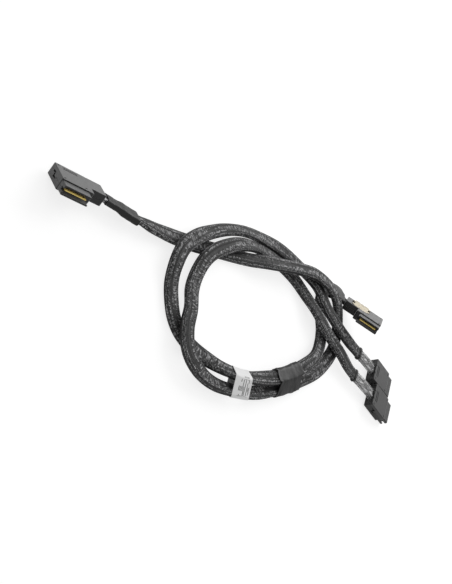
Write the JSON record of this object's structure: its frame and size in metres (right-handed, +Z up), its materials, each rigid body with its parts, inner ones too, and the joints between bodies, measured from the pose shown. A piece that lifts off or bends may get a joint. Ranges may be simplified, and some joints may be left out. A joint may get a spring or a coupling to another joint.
{
  "type": "internal mini-SAS cable set",
  "caption": "Internal storage cable set: two flat sleeved cables, each with a side-exit plug and a straight plug with press latches.",
  "frame": {"origin": "middle of the footprint of the plugs and the pieces on the strands, at the surface that they lie on", "axes": "+Z up from the surface, +Y from side-exit plug 1 towards the straight plugs"},
  "size_m": [0.2658, 0.3134, 0.0336],
  "materials": {
    "plug_moulding": "moulded black plastic, satin",
    "paddle_card": "gold-plated contacts on a green printed card",
    "latch_steel": "stamped, lightly brushed",
    "ribbon_film": "clear jacket over foil, glossy",
    "heat_shrink": "black shrink tube, satin",
    "clear_film": "clear film, glossy",
    "braid_sleeve": "woven monofilament sleeve, dark grey",
    "label_paper": "coated white label"
  },
  "bodies": {
    "cable_set": {"side_plug_1_latch_shell": "plug_moulding", "side_plug_1_base_shell": "plug_moulding", "side_plug_1_paddle_card": "paddle_card", "side_plug_1_ribbon_upper": "ribbon_film", "side_plug_1_ribbon_lower": "ribbon_film", "side_plug_1_heat_shrink": "heat_shrink", "side_plug_2_latch_shell": "plug_moulding", "side_plug_2_base_shell": "plug_moulding", "side_plug_2_paddle_card": "paddle_card", "side_plug_2_ribbon_upper": "ribbon_film", "side_plug_2_ribbon_lower": "ribbon_film", "side_plug_2_heat_shrink": "heat_shrink", "straight_plug_1_latch_shell": "plug_moulding", "straight_plug_1_base_shell": "plug_moulding", "straight_plug_1_paddle_card": "paddle_card", "straight_plug_1_ribbon_upper": "ribbon_film", "straight_plug_1_ribbon_lower": "ribbon_film", "straight_plug_1_boot": "clear_film", "straight_plug_1_end_band": "heat_shrink", "straight_plug_2_latch_shell": "plug_moulding", "straight_plug_2_base_shell": "plug_moulding", "straight_plug_2_paddle_card": "paddle_card", "straight_plug_2_ribbon_upper": "ribbon_film", "straight_plug_2_ribbon_lower": "ribbon_film", "straight_plug_2_boot": "clear_film", "straight_plug_2_end_band": "heat_shrink", "sleeve_a": "braid_sleeve", "sleeve_b": "braid_sleeve", "mid_heat_shrink": "heat_shrink", "wrap_label": "label_paper"},
    "side_plug_1_latch": {"side_plug_1_latch": "latch_steel"},
    "side_plug_2_latch": {"side_plug_2_latch": "latch_steel"},
    "straight_plug_1_latch": {"straight_plug_1_latch": "latch_steel"},
    "straight_plug_2_latch": {"straight_plug_2_latch": "latch_steel"}
  },
  "joints": [
    {"name": "side_plug_1_latch_press", "type": "hinge", "parent": "cable_set", "child": "side_plug_1_latch", "pos_m": [-0.10827, -0.13581, 0.01026], "axis": [0.5195, 0.8545, 0], "range_deg": [0, 5], "stiffness_Nm_per_rad": 1.5},
    {"name": "side_plug_2_latch_press", "type": "hinge", "parent": "cable_set", "child": "side_plug_2_latch", "pos_m": [0.03331, 0.12418, 0.01989], "axis": [-0.795, -0.3002, -0.5271], "range_deg": [0, 5], "stiffness_Nm_per_rad": 1.5},
    {"name": "straight_plug_1_latch_press", "type": "hinge", "parent": "cable_set", "child": "straight_plug_1_latch", "pos_m": [0.11607, 0.12515, 0.00164], "axis": [-0.5736, 0.8192, 0], "range_deg": [0, 5], "stiffness_Nm_per_rad": 1.5},
    {"name": "straight_plug_2_latch_press", "type": "hinge", "parent": "cable_set", "child": "straight_plug_2_latch", "pos_m": [0.09726, 0.14065, 0.00164], "axis": [-0.592, 0.8059, 0], "range_deg": [0, 5], "stiffness_Nm_per_rad": 1.5}
  ]
}
